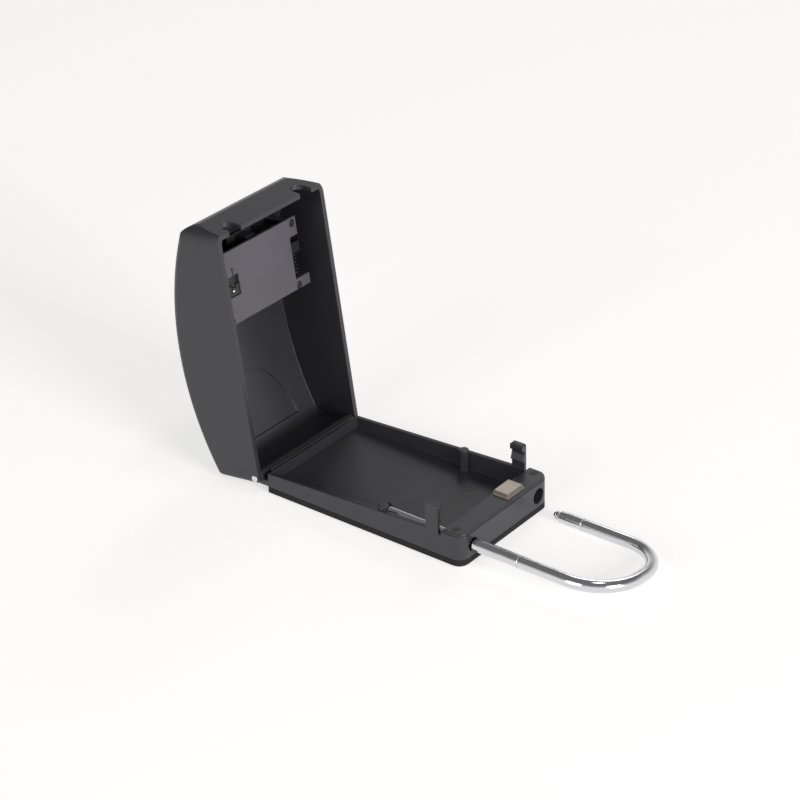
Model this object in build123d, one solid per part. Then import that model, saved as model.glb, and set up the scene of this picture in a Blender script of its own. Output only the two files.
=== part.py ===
from build123d import *
from math import asin, cos, degrees, radians, sin, sqrt
import os

# Padlock key safe, lying open on its back: a tray, a hinged cover that holds the dials, and a shackle.
# Lengths are in millimetres. The working frame has X = 0 at the tray's hinge end, Y = 0 on the middle
# plane and Z = 0 under the rubber pad. The cover is drawn shut and then turned open about its pin.

# Tray
TRAY_LENGTH = 150.5
TRAY_WIDTH = 90.0
TRAY_WALL = 2.6
TRAY_END_WALL = 2.6
TRAY_CORNER_R = 7.0
PAD_THICKNESS = 4.75
FLOOR_THICKNESS = 2.25
WALL_TOP_HINGE = 13.8
WALL_TOP_DECK = 20.7
RUNNING_GAP = 0.3
SEAT_GAP = 0.05

# Hinge
PIN_R = 2.2
PIN_CLEARANCE = 0.06
PIN_PROUD = 0.2
PIN_X = -7.2
PIN_Z = 9.73
BARREL_R = 3.3
BARREL_END_GAP = 0.5
OPEN_ANGLE = 97.8
RAMP_HALF_WIDTH = 38.7
RAMP_TOP = (-2.9, 13.8)
RAMP_FOOT = (1.05, 10.3)
TONGUE_THICKNESS = 3.75

# Deck over the shackle lock
DECK_X = 135.8
DECK_THICKNESS = 1.7
DECK_INSET = 0.3
DECK_BEVEL = 0.5
BULKHEAD_THICKNESS = 1.4
CORNER_BLOCK_Y = 27.0
DECK_SCREW_X = 142.4
DECK_SCREW_Y = 39.9
SCREW_R = 1.3
SCREW_HEAD_R = 2.5
SCREW_HEAD_HEIGHT = 1.0
SCREW_DEPTH_IN_TRAY = 2.6

# Hook posts and ribs of the tray
POST_X = 123.7
POST_LENGTH = 9.4
POST_TOP = 37.5
POST_HEAD_Y = 41.0
POST_WEB_Y = 43.0
NOTCH_BOTTOM = 30.5
NOTCH_TOP = 33.3
SLOPE_BOTTOM = 25.9
SLOPE_FOOT_Y = 41.5
POST_BEVEL = 0.7
WALL_GAP_DEPTH = 2.4
RIB_X = 88.5
RIB_R = 3.2
RIB_INNER_Y = 37.4
RIB_TOP = 21.0

# Cover
COVER_GAP = 1.2
COVER_SIDE_WALL = 3.2
COVER_END_WALL = 3.2
COVER_FRONT_WALL = 4.4
RIM_Z = 6.3
COVER_HINGE_X = -10.8
COVER_FREE_X_RIM = 154.9
COVER_FREE_X_TOP = 157.8
COVER_FREE_TOP_Z = 28.0
FRONT_R = 195.5
FRONT_CENTRE_X = 68.8
COVER_HEIGHT = 58.0
COVER_PROFILE_R = 13.0
COVER_INNER_PROFILE_R = 8.0
COVER_FREE_CORNER_R = 9.5
COVER_HINGE_CORNER_R = 3.0
COVER_FRONT_FILLET = 3.5
END_WALL_CUT_Z = 13.5
LEG_NOTCH_Y = 33.0
LEG_NOTCH_WIDTH = 10.8
ARCH_X = -8.0
ARCH_LENGTH = 47.0
ARCH_HALF_WIDTH = 31.0
ARCH_STEP = 1.2
ARCH_START_X = -3.0
BOSS_R = 2.7
BOSS_BORE_DEPTH = 6.0
BOSS_ROOT = 0.5

# Mechanism plate in the cover
PLATE_Z = 22.6
PLATE_THICKNESS = 2.0
PLATE_X = 87.5
PLATE_END_X = 134.8
PLATE_HALF_WIDTH = 30.0
EAR_UPPER_X = 122.5
EAR_UPPER_Y = 37.5
EAR_LOWER_END_X = 94.5
EAR_LOWER_Y = 42.5
PLATE_SCREWS = ((131.2, 33.5), (131.2, -33.5), (90.0, 31.8), (90.0, -31.8))
RESET_X = 105.0
RESET_LENGTH = 13.5
RESET_Y = -30.0
RESET_WIDTH = 9.5
RESET_TRAVEL = 6.0
LEVER_LENGTH = 7.2
LEVER_RIVET_R = 1.1
LEVER_LAP = 1.2

# Dials
DIAL_X = 104.0
DIAL_Z = 40.6
DIAL_R = 12.0
DIAL_WIDTH = 8.0
DIAL_PITCH = 13.0
DIAL_COUNT = 4
DIGITS = 10
SPINDLE_R = 2.0
SPINDLE_CLEARANCE = 0.08
CAM_R = 7.4
CAM_WIDTH = 2.2
CAM_GATE = 4.0
SLOT_MARGIN = 0.6
FRAME_WALL = 2.0
FRAME_X = 87.0
FRAME_END_X = 115.0
FRAME_BASE_Z = 29.0
LEAF_THICKNESS = 0.5
LEAF_SCREW_Z = 32.5
CLIP_THICKNESS = 0.8
CLIP_R = 3.6

# Shutter over the dials
CHANNEL_DEPTH = 2.0
CHANNEL_HALF_WIDTH = 36.0
SHUTTER_THICKNESS = 1.5
SHUTTER_SIDE_GAP = 0.4
TONGUE_DEPTH = 1.1
SHUTTER_START = 6.8
SHUTTER_END = 20.7
SHUTTER_TRAVEL = 12.9
CHANNEL_MARGIN = 0.5
GRIP_HALF_WIDTH = 14.0
PANEL_X = 92.0
PANEL_END_X = 139.0
PANEL_HALF_WIDTH = 27.0
PANEL_FLANGE = 1.5
PANEL_LIP = 1.5

# Latch
LATCH_Z = 25.4
LATCH_THICKNESS = 1.6
LATCH_X = 95.0
LATCH_END_X = 122.0
LATCH_HALF_WIDTH = 28.0
LATCH_TRAVEL = 6.5
LATCH_EAR_X = 129.2
LATCH_EAR_Z = 31.1
LATCH_EAR_THICKNESS = 1.8
LATCH_ARM_Y = 38.2
LATCH_ARM_WIDTH = 2.2
GUIDE_X = 112.0
GUIDE_Y = 13.0
GUIDE_R = 1.5
GUIDE_SEAT = 1.2
BUTTON_X = 127.5
BUTTON_LENGTH = 8.0
BUTTON_HALF_WIDTH = 9.0
ARM_X = 110.0
STEM_HALF = 4.0
GUIDE_SLOT_R = 1.8
SPRING_R = 1.8
SPRING_Y = 34.5
SPRING_WIRE_R = 0.3
SPRING_TURNS = 6
SPRING_X = 95.3
SPRING_END_X = 109.4

# Shackle
LEG_Z = 12.2
LEG_Y = 33.4
LEG_R = 4.05
ROD_R = 3.0
FREE_BORE_R = 5.2
CAPTIVE_BORE_R = 4.4
BORE_LEAD = 0.6
SHOULDER_X = 151.2
ROD_END_X = 80.8
BEND_X = 217.0
BEND_LENGTH = 30.0
TIP_X = 163.3
NOSE_LENGTH = 1.9
NOSE_R = 3.0
GROOVE_LENGTH = 1.7
GROOVE_R = 2.0
HEAD_END_X = 172.0
HEAD_R = 3.7
HEAD_BEVEL = 1.2
RING_MARK_X = 184.2
RING_MARK_DEPTH = 0.25
RING_MARK_WIDTH = 1.2
INSERT_TRAVEL = 12.3
APPROACH_TRAVEL = 15.7
CLIP_RING_R = 4.9
CLIP_GROOVE_R = 2.2
RING_CLEARANCE = 0.08
WASHER_THICKNESS = 1.0
BUMPER_THICKNESS = 1.4
STACK_GAP = 0.1

# Shackle lock
BLOCK_X = 136.4
BLOCK_LENGTH = 11.8
BLOCK_Y = 5.0
BLOCK_WIDTH = 17.0
BLOCK_HEIGHT = 2.4
BLOCK_BEVEL = 1.8
STEM_WIDTH = 8.0
STEM_LENGTH = 5.0
LOCK_TRAVEL = 4.0
BOLT_THICKNESS = 1.1
BOLT_REACH = 27.0
BOLT_HEIGHT = 5.0

# Values that follow from the ones above
HALF = TRAY_WIDTH / 2
FLOOR_TOP = PAD_THICKNESS + FLOOR_THICKNESS
DECK_TOP = WALL_TOP_DECK + DECK_THICKNESS
COVER_INNER_Y = HALF + COVER_GAP
COVER_OUTER_Y = COVER_INNER_Y + COVER_SIDE_WALL
FRONT_CENTRE_Z = COVER_HEIGHT - FRONT_R
INNER_FRONT_R = FRONT_R - COVER_FRONT_WALL
CHANNEL_R = FRONT_R - CHANNEL_DEPTH
FLANGE_R = INNER_FRONT_R - PANEL_FLANGE
PLATE_TOP = PLATE_Z + PLATE_THICKNESS
POST_END_X = POST_X + POST_LENGTH
BULKHEAD_END_X = DECK_X + BULKHEAD_THICKNESS
END_WALL_X = TRAY_LENGTH - TRAY_END_WALL
DROOP = degrees(asin((LEG_Z - LEG_R) / (2 * LEG_Y)))
SHACKLE_TRAVEL = INSERT_TRAVEL + APPROACH_TRAVEL
STEM_X = BUTTON_X
FLANGE_TOP_Z = FRONT_CENTRE_Z + sqrt(FLANGE_R ** 2 - (BUTTON_X + BUTTON_LENGTH + 1 - FRONT_CENTRE_X) ** 2)
BOLT_X = TIP_X + NOSE_LENGTH + (GROOVE_LENGTH - BOLT_THICKNESS) / 2 - SHACKLE_TRAVEL
BUMPER_X = RIB_X - RIB_R - 0.1 - BUMPER_THICKNESS + 0.8
WASHER_X = BUMPER_X - STACK_GAP - WASHER_THICKNESS
CLIP_X = WASHER_X - 0.2 - CLIP_THICKNESS
DIAL_YS = [DIAL_PITCH * (i - (DIAL_COUNT - 1) / 2) for i in range(DIAL_COUNT)]
FRAME_HALF = DIAL_YS[-1] + DIAL_WIDTH / 2 + CAM_WIDTH + RUNNING_GAP
SPINDLE_HALF = FRAME_HALF + FRAME_WALL + CLIP_THICKNESS + 0.6


def block(x0, x1, y0, y1, z0, z1):
    """Box between two corners."""
    return Pos((x0 + x1) / 2, (y0 + y1) / 2, (z0 + z1) / 2) * Box(x1 - x0, y1 - y0, z1 - z0)


def post(x, y, z0, z1, r):
    """Cylinder along Z."""
    return Pos(x, y, (z0 + z1) / 2) * Cylinder(r, z1 - z0)


def rod(y, z, x0, x1, r):
    """Cylinder along X."""
    return Pos((x0 + x1) / 2, y, z) * Rot(0, 90, 0) * Cylinder(r, x1 - x0)


def axle(x, z, y0, y1, r):
    """Cylinder along Y."""
    return Pos(x, (y0 + y1) / 2, z) * Rot(90, 0, 0) * Cylinder(r, y1 - y0)


def profile(points, y0, y1):
    """Straight-sided outline in X and Z, drawn out along Y."""
    face = make_face(Polyline(*[(x, 0, z) for x, z in points], close=True))
    return Pos(0, y0, 0) * extrude(face, y1 - y0, dir=(0, 1, 0))


def both_sides(shape):
    """The shape and its mirror image across the middle plane."""
    return shape + mirror(shape, Plane.XZ)


def on_front(radius, angle):
    """Point in X and Z at this radius and angle about the front wall's centre of curvature."""
    turn = radians(angle)
    return FRONT_CENTRE_X + radius * sin(turn), FRONT_CENTRE_Z + radius * cos(turn)


def front_angle(x, radius=FRONT_R):
    """Angle about the front wall's centre at which a circle of this radius has this X."""
    return degrees(asin((x - FRONT_CENTRE_X) / radius))


def arc_slab(r0, r1, a0, a1, y0, y1):
    """Curved plate between two radii and two angles about the front wall's centre."""
    def arc(radius, start, end):
        stations = (start, (start + end) / 2, end)
        return ThreePointArc(*[(x, 0, z) for x, z in (on_front(radius, a) for a in stations)])

    def edge(angle):
        (xa, za), (xb, zb) = on_front(r0, angle), on_front(r1, angle)
        return Line((xa, 0, za), (xb, 0, zb))

    face = make_face([arc(r1, a0, a1), edge(a1), arc(r0, a1, a0), edge(a0)])
    return Pos(0, y0, 0) * extrude(face, y1 - y0, dir=(0, 1, 0))


def tray_outline(inset, z0, z1):
    """Plan of the tray: square at the hinge end and round at the shackle end."""
    body = block(inset, TRAY_LENGTH - inset, inset - HALF, HALF - inset, z0, z1)
    corners = body.edges().filter_by(Axis.Z).sort_by(Axis.X)[-2:]
    return fillet(corners, max(TRAY_CORNER_R - inset, 1.0))


def leg_bore(y, r):
    """Hole for one of the shackle's legs, with a lead-in at the mouth."""
    bore = rod(y, LEG_Z, DECK_X - 5, TRAY_LENGTH + 5, r)
    return bore + Pos(TRAY_LENGTH, y, LEG_Z) * Rot(0, 90, 0) * Cone(r - BORE_LEAD, r + BORE_LEAD, 2 * BORE_LEAD)


def hook_post():
    """Post that the latch hooks under, on the +Y wall."""
    outline = [
        (HALF, PAD_THICKNESS), (HALF, POST_TOP), (POST_HEAD_Y + POST_BEVEL, POST_TOP),
        (POST_HEAD_Y, POST_TOP - POST_BEVEL), (POST_HEAD_Y, NOTCH_TOP), (POST_WEB_Y, NOTCH_TOP),
        (POST_WEB_Y, NOTCH_BOTTOM), (SLOPE_FOOT_Y, SLOPE_BOTTOM), (POST_WEB_Y, SLOPE_BOTTOM),
        (POST_WEB_Y, WALL_TOP_DECK), (HALF - TRAY_WALL, WALL_TOP_DECK), (HALF - TRAY_WALL, PAD_THICKNESS),
    ]
    face = make_face(Polyline(*[(0, y, z) for y, z in outline], close=True))
    body = Pos(POST_X, 0, 0) * extrude(face, POST_LENGTH, dir=(1, 0, 0))
    top = body.edges().filter_by(Axis.Y).group_by(Axis.Z)[-1]
    return chamfer(top, POST_BEVEL)


def hinge_end():
    """Floor's tongue, the barrel on the pin and the sloped wall beside it."""
    tongue = block(PIN_X, 1, -HALF, HALF, PAD_THICKNESS, PAD_THICKNESS + TONGUE_THICKNESS)
    barrel = axle(PIN_X, PIN_Z, BARREL_END_GAP - COVER_INNER_Y, COVER_INNER_Y - BARREL_END_GAP, BARREL_R)
    foot_x = RAMP_FOOT[0]
    ramp = profile(
        [RAMP_TOP, RAMP_FOOT, (foot_x, PAD_THICKNESS), (RAMP_TOP[0], PAD_THICKNESS)],
        -RAMP_HALF_WIDTH, RAMP_HALF_WIDTH,
    )
    hole = axle(PIN_X, PIN_Z, -HALF - 5, HALF + 5, PIN_R + PIN_CLEARANCE)
    return tongue + barrel + ramp - hole


def base_tray():
    shell = tray_outline(0, PAD_THICKNESS, WALL_TOP_DECK)
    room_y = HALF - TRAY_WALL
    shell -= block(RAMP_FOOT[0], DECK_X, -room_y, room_y, FLOOR_TOP, WALL_TOP_DECK + 1)
    slope = [(-1, WALL_TOP_HINGE), (POST_END_X, WALL_TOP_DECK), (POST_END_X, 40), (-1, 40)]
    shell -= profile(slope, -HALF - 1, HALF + 1)
    dip = WALL_TOP_DECK - WALL_GAP_DEPTH
    shell -= block(POST_END_X, DECK_X, -HALF - 1, HALF + 1, dip, WALL_TOP_DECK + 1)
    shell -= block(
        BULKHEAD_END_X, END_WALL_X, -CORNER_BLOCK_Y, CORNER_BLOCK_Y, FLOOR_TOP, WALL_TOP_DECK + 1
    )
    rib = post(RIB_X, RIB_INNER_Y + RIB_R, PAD_THICKNESS, RIB_TOP, RIB_R)
    rib &= block(RIB_X - RIB_R, RIB_X + RIB_R, 0, HALF - 0.5, 0, RIB_TOP)
    rib = chamfer(rib.edges().group_by(Axis.Z)[-1], 0.5)
    shell += both_sides(rib) + both_sides(hook_post()) + hinge_end()
    shell -= leg_bore(LEG_Y, FREE_BORE_R) + leg_bore(-LEG_Y, CAPTIVE_BORE_R)
    half = BOLT_HEIGHT / 2 + RUNNING_GAP
    x0, x1 = BOLT_X - RUNNING_GAP, BOLT_X + BOLT_THICKNESS + RUNNING_GAP
    shell -= block(x0, x1, CORNER_BLOCK_Y - 1, LEG_Y, LEG_Z - half, LEG_Z + half)
    for y in (-DECK_SCREW_Y, DECK_SCREW_Y):
        shell -= post(DECK_SCREW_X, y, WALL_TOP_DECK - SCREW_DEPTH_IN_TRAY, WALL_TOP_DECK + 1, SCREW_R)
    return shell


def rubber_base_pad():
    pad = tray_outline(0, 0, PAD_THICKNESS)
    return chamfer(pad.edges().group_by(Axis.Z)[0], 0.6)


def stem_slot():
    """Opening in the deck that the lock block's stem slides in."""
    x0, x1, y0, y1 = stem_plan()
    return block(x0 - RUNNING_GAP, x1 + RUNNING_GAP, y0 - RUNNING_GAP, y1 + LOCK_TRAVEL + RUNNING_GAP, 0, 60)


def stem_plan():
    """Plan of the lock block's stem."""
    x0 = BULKHEAD_END_X + 3.0
    y0 = BLOCK_Y + (BLOCK_WIDTH - STEM_WIDTH) / 2
    return x0, x0 + STEM_LENGTH, y0, y0 + STEM_WIDTH


def deck_plate():
    plate = tray_outline(DECK_INSET, WALL_TOP_DECK, DECK_TOP)
    plate &= block(DECK_X, TRAY_LENGTH, -HALF, HALF, WALL_TOP_DECK, DECK_TOP)
    plate = chamfer(plate.edges().group_by(Axis.Z)[-1], DECK_BEVEL)
    for y in (-DECK_SCREW_Y, DECK_SCREW_Y):
        plate -= post(DECK_SCREW_X, y, 0, 40, SCREW_R)
        plate -= post(DECK_SCREW_X, y, DECK_TOP - SCREW_HEAD_HEIGHT, 40, SCREW_HEAD_R + SEAT_GAP)
    return plate - stem_slot()


def screw(x, y, z, up, shank):
    """Pan screw whose head's seat is at z, with its shank on the other side."""
    head = post(x, y, *sorted((z, z + up * SCREW_HEAD_HEIGHT)), SCREW_HEAD_R)
    rim = head.edges().filter_by(GeomType.CIRCLE).sort_by(Axis.Z)[-1 if up > 0 else 0]
    head = chamfer(rim, 0.35)
    socket = Pos(x, y, z + up * SCREW_HEAD_HEIGHT) * (Box(2.6, 0.6, 0.8) + Box(0.6, 2.6, 0.8))
    return head + post(x, y, *sorted((z, z - up * shank)), SCREW_R) - socket


def deck_screws():
    seat = DECK_TOP - SCREW_HEAD_HEIGHT
    shank = seat - WALL_TOP_DECK + SCREW_DEPTH_IN_TRAY
    return [screw(DECK_SCREW_X, y, seat, 1, shank) for y in (-DECK_SCREW_Y, DECK_SCREW_Y)]


def hinge_pin():
    return axle(PIN_X, PIN_Z, -COVER_OUTER_Y - PIN_PROUD, COVER_OUTER_Y + PIN_PROUD, PIN_R)


def cover_profile(wall_hinge, wall_free, radius, rim, corner_r):
    """Side view of the cover or of its room: flat ends and an arched front."""
    top = COVER_HEIGHT + 20
    x0 = COVER_HINGE_X + wall_hinge
    lean = (COVER_FREE_X_TOP - COVER_FREE_X_RIM) / (COVER_FREE_TOP_Z - RIM_Z)
    x_rim = COVER_FREE_X_RIM - wall_free - lean * (RIM_Z - rim)
    x_top = COVER_FREE_X_TOP - wall_free
    outline = Polyline(
        (x0, 0, rim), (x_rim, 0, rim), (x_top, 0, COVER_FREE_TOP_Z), (x_top, 0, top), (x0, 0, top), close=True
    )
    face = make_face(outline)
    disc = make_face(CenterArc((0, 0, 0), radius, 0, 360))
    face &= Pos(FRONT_CENTRE_X, 0, FRONT_CENTRE_Z) * Rot(90, 0, 0) * disc
    return fillet(face.vertices().sort_by(Axis.Z)[-2:], corner_r)


def cover_form(inset, profile_face, hinge_r, free_r):
    """Side view drawn out to the cover's width, with round corners in plan."""
    half = COVER_OUTER_Y - inset
    body = Pos(0, -half, 0) * extrude(profile_face, 2 * half, dir=(0, 1, 0))
    box = body.bounding_box()
    plan = block(box.min.X, box.max.X, -half, half, -20, COVER_HEIGHT + 20)
    uprights = plan.edges().filter_by(Axis.Z).sort_by(Axis.X)
    plan = fillet(uprights[-2:], free_r)
    uprights = plan.edges().filter_by(Axis.Z).sort_by(Axis.X)
    if hinge_r > 0:
        plan = fillet(uprights[:2], hinge_r)
    return body & plan


def front_barrel():
    """Barrel whose outside is the arched front, with its two long edges rounded."""
    barrel = axle(FRONT_CENTRE_X, FRONT_CENTRE_Z, -COVER_OUTER_Y, COVER_OUTER_Y, FRONT_R)
    return fillet(barrel.edges().filter_by(GeomType.CIRCLE), COVER_FRONT_FILLET)


def cover_outside():
    """Outside form of the cover, with its hinge corner round about the pin."""
    face = cover_profile(0, 0, FRONT_R, RIM_Z, COVER_PROFILE_R)
    hinge_corner = face.vertices().sort_by(Axis.Z)[:2].sort_by(Axis.X)[0]
    face = fillet(hinge_corner, PIN_Z - RIM_Z)
    return cover_form(0, face, COVER_HINGE_CORNER_R, COVER_FREE_CORNER_R) & front_barrel()


def cover_room():
    """Space inside the cover."""
    face = cover_profile(COVER_END_WALL, COVER_END_WALL, INNER_FRONT_R, RIM_Z - 5, COVER_INNER_PROFILE_R)
    inner_corner = COVER_FREE_CORNER_R - COVER_END_WALL
    return cover_form(COVER_SIDE_WALL, face, 0, inner_corner)


def boss(x, y):
    """Screw boss that stands from the front wall down to the mechanism plate."""
    inside = arc_slab(FRONT_R / 2, INNER_FRONT_R + BOSS_ROOT, -25, 30, -HALF, HALF)
    return post(x, y, PLATE_TOP, COVER_HEIGHT, BOSS_R) & inside


def panel_window(clear):
    """Opening in the front wall for the dial panel, through the whole wall."""
    a0, a1 = front_angle(PANEL_X), front_angle(PANEL_END_X)
    side = PANEL_HALF_WIDTH + clear
    return arc_slab(INNER_FRONT_R - 8, FRONT_R + 8, a0, a1, -side, side)


def cover_shell():
    shell = cover_outside() - cover_room()
    a0 = SHUTTER_START - SHUTTER_TRAVEL - CHANNEL_MARGIN
    a1 = SHUTTER_END + CHANNEL_MARGIN
    channel = CHANNEL_HALF_WIDTH
    shell -= arc_slab(CHANNEL_R, FRONT_R + 5, a0, a1, -channel, channel)
    groove = channel + TONGUE_DEPTH
    shell -= arc_slab(CHANNEL_R, FRONT_R - 0.6, a0, a1, -groove, groove)
    arch = Pos(ARCH_X, 0, 0) * extrude(Ellipse(ARCH_LENGTH, ARCH_HALF_WIDTH), 200)
    arch &= arc_slab(INNER_FRONT_R - 5, INNER_FRONT_R + ARCH_STEP, front_angle(ARCH_START_X), 0, -HALF, HALF)
    shell -= arch
    for x, y in PLATE_SCREWS:
        shell += boss(x, y)
        shell -= post(x, y, PLATE_TOP - 1, PLATE_TOP + BOSS_BORE_DEPTH, SCREW_R)
    shell -= panel_window(0)
    half = COVER_INNER_Y - BARREL_END_GAP / 2
    shell -= block(COVER_HINGE_X - 1, 0, -half, half, 0, END_WALL_CUT_Z)
    for side in (-1, 1):
        shell -= axle(PIN_X, PIN_Z, *sorted((side * HALF, side * (COVER_OUTER_Y + 1))), PIN_R + PIN_CLEARANCE)
        y = side * LEG_NOTCH_Y
        half_notch = LEG_NOTCH_WIDTH / 2
        x0, x1 = COVER_FREE_X_RIM - COVER_END_WALL - 3, COVER_FREE_X_RIM + 5
        shell -= rod(y, LEG_Z, x0, x1, half_notch)
        shell -= block(x0, x1, y - half_notch, y + half_notch, 0, LEG_Z)
    return shell


def mechanism_plate():
    z0, z1 = PLATE_Z, PLATE_TOP
    plate = block(PLATE_X, PLATE_END_X, -PLATE_HALF_WIDTH, PLATE_HALF_WIDTH, z0, z1)
    plate += block(EAR_UPPER_X, PLATE_END_X, -EAR_UPPER_Y, EAR_UPPER_Y, z0, z1)
    plate += block(PLATE_X, EAR_LOWER_END_X, -EAR_LOWER_Y, EAR_LOWER_Y, z0, z1)
    plate = chamfer(plate.edges().group_by(Axis.Z)[0], 0.3)
    for x, y in PLATE_SCREWS:
        plate -= post(x, y, z0 - 1, z1 + 1, SCREW_R)
        plate -= post(x, y, z0 - 1, z0 + SCREW_HEAD_HEIGHT, SCREW_HEAD_R + SEAT_GAP)
    window = block(RESET_X, RESET_X + RESET_LENGTH, RESET_Y, RESET_Y + RESET_WIDTH, z0 - 1, z1 + 1)
    plate -= window
    for y in (-GUIDE_Y, GUIDE_Y):
        plate -= post(GUIDE_X, y, z1 - GUIDE_SEAT, z1 + 1, GUIDE_R)
    return plate


def mechanism_screws():
    seat = PLATE_Z + SCREW_HEAD_HEIGHT
    shank = PLATE_TOP - seat + BOSS_BORE_DEPTH - 0.5
    return [screw(x, y, seat, -1, shank) for x, y in PLATE_SCREWS]


def reset_lever():
    """Slide that lets the dials be set, with a flange above the plate and a thumb rib below."""
    side = RUNNING_GAP
    x0 = RESET_X + side
    x1 = x0 + LEVER_LENGTH - side
    y0, y1 = RESET_Y + side, RESET_Y + RESET_WIDTH - side
    lever = block(x0, x1, y0, y1, PLATE_Z + 0.5, PLATE_TOP + 0.05)
    flange_z = PLATE_TOP + 0.05
    lever += block(x0, x1 + RESET_TRAVEL, y0 - LEVER_LAP, y1 + LEVER_LAP, flange_z, LATCH_Z - 0.1)
    lever -= rod((y0 + y1) / 2, PLATE_Z, x1 - 1.6, x1 + 1, 2.2)
    return lever


def reset_lever_rivet():
    x, y = RESET_X + LEVER_LENGTH / 2 + 0.2, RESET_Y + LEVER_LENGTH / 2
    head = post(x, y, PLATE_Z - 0.3, PLATE_Z + 0.5, LEVER_RIVET_R)
    return chamfer(head.edges().filter_by(GeomType.CIRCLE).sort_by(Axis.Z)[0], 0.4)


def dial_panel():
    """Curved panel in the front wall, with a slot for each dial and one for the button."""
    a0, a1 = front_angle(PANEL_X), front_angle(PANEL_END_X)
    lip = degrees(PANEL_LIP / FRONT_R)
    side = PANEL_HALF_WIDTH
    panel = arc_slab(INNER_FRONT_R - 0.1, CHANNEL_R - 0.05, a0, a1, -side, side)
    wide = side + PANEL_LIP
    panel += arc_slab(FLANGE_R, INNER_FRONT_R - 0.05, a0 - lip, a1 + lip / 2, -wide, wide)
    half = DIAL_WIDTH / 2 + SLOT_MARGIN
    for y in DIAL_YS:
        panel -= axle(DIAL_X, DIAL_Z, y - half, y + half, DIAL_R + SLOT_MARGIN)
        panel -= axle(DIAL_X, DIAL_Z, y, y + half - SLOT_MARGIN + CAM_WIDTH + RUNNING_GAP, CAM_R + 2)
    panel -= button_window()
    return panel


def button_window():
    """Slot in the panel that the button slides in."""
    x0 = BUTTON_X - LATCH_TRAVEL - RUNNING_GAP
    x1 = BUTTON_X + BUTTON_LENGTH + RUNNING_GAP
    side = BUTTON_HALF_WIDTH + RUNNING_GAP
    return block(x0, x1, -side, side, PLATE_TOP, COVER_HEIGHT + 5)


def dial_frame():
    """Two cheeks that hold the spindle, joined by a bar behind the dials."""
    cheek_y0, cheek_y1 = FRAME_HALF, FRAME_HALF + FRAME_WALL
    cheek = block(FRAME_X, FRAME_END_X, cheek_y0, cheek_y1, FRAME_BASE_Z, COVER_HEIGHT)
    frame = both_sides(cheek)
    bar_top = DIAL_Z - 1
    frame += block(FRAME_X, FRAME_X + FRAME_WALL, -cheek_y1, cheek_y1, FRAME_BASE_Z, bar_top)
    frame &= arc_slab(FRONT_R / 2, FLANGE_R, -20, 40, -HALF, HALF)
    frame -= axle(DIAL_X, DIAL_Z, -HALF, HALF, SPINDLE_R)
    for y in (-GUIDE_Y, GUIDE_Y):
        frame -= rod(y, LEAF_SCREW_Z, FRAME_X - 1, FRAME_X + FRAME_WALL + 1, 1.0)
    return frame


def dial_spindle():
    shaft = axle(DIAL_X, DIAL_Z, -SPINDLE_HALF, SPINDLE_HALF, SPINDLE_R)
    shaft = chamfer(shaft.edges().filter_by(GeomType.CIRCLE), 0.4)
    clip_y = FRAME_HALF + FRAME_WALL
    neck = axle(DIAL_X, DIAL_Z, clip_y, clip_y + CLIP_THICKNESS + 0.1, SPINDLE_R + 1)
    neck -= axle(DIAL_X, DIAL_Z, clip_y, clip_y + CLIP_THICKNESS + 0.1, SPINDLE_R - 0.5)
    return shaft - both_sides(neck)


def spindle_clips():
    clip_y = FRAME_HALF + FRAME_WALL
    ring = axle(DIAL_X, DIAL_Z, clip_y, clip_y + CLIP_THICKNESS, CLIP_R)
    ring -= axle(DIAL_X, DIAL_Z, clip_y, clip_y + CLIP_THICKNESS, SPINDLE_R - 0.5)
    ring -= block(DIAL_X - 1.1, DIAL_X + 1.1, 0, HALF, DIAL_Z - CLIP_R - 1, DIAL_Z)
    return [ring, mirror(ring, Plane.XZ)]


def detent_spring():
    """Leaf with one bump for each dial, which drops into the dial's notches."""
    x0 = FRAME_X + FRAME_WALL
    leaf = block(x0, x0 + LEAF_THICKNESS, -FRAME_HALF + 1, FRAME_HALF - 1, FRAME_BASE_Z + 1, DIAL_Z + 4)
    half = FRAME_HALF
    for lower, upper in zip(DIAL_YS, DIAL_YS[1:]):
        middle = (lower + upper) / 2
        leaf -= block(x0 - 1, x0 + 2, middle - 0.8, middle + 0.8, DIAL_Z - 5, DIAL_Z + 5)
    for y in DIAL_YS:
        reach = DIAL_X - DIAL_R - RUNNING_GAP - x0
        bump = axle(x0, DIAL_Z, y - 2, y + 2, reach)
        leaf += bump & block(x0, x0 + reach, -half, half, 0, COVER_HEIGHT)
    for y in (-GUIDE_Y, GUIDE_Y):
        leaf -= rod(y, LEAF_SCREW_Z, x0 - 1, x0 + LEAF_THICKNESS + 1, 1.0)
    return leaf


def detent_screws():
    x0 = FRAME_X + FRAME_WALL + LEAF_THICKNESS
    shank = FRAME_WALL + LEAF_THICKNESS
    return [
        rod(y, LEAF_SCREW_Z, x0, x0 + 0.8, 1.9) + rod(y, LEAF_SCREW_Z, x0 - shank, x0, 1.0)
        for y in (-GUIDE_Y, GUIDE_Y)
    ]


def dial_wheel(y):
    """Number wheel with a flat for each digit and a detent notch between the flats."""
    half = DIAL_WIDTH / 2
    wheel = axle(DIAL_X, DIAL_Z, y - half, y + half, DIAL_R)
    wheel = chamfer(wheel.edges().filter_by(GeomType.CIRCLE), 0.4)
    for i in range(DIGITS):
        turn = 360 / DIGITS * i
        notch = Pos(DIAL_R, 0, 0) * Rot(0, 45, 0) * Box(1.1, DIAL_WIDTH + 1, 1.1)
        wheel -= Pos(DIAL_X, y, DIAL_Z) * Rot(0, turn, 0) * notch
    return wheel - axle(DIAL_X, DIAL_Z, y - half, y + half, SPINDLE_R + SPINDLE_CLEARANCE)


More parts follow.
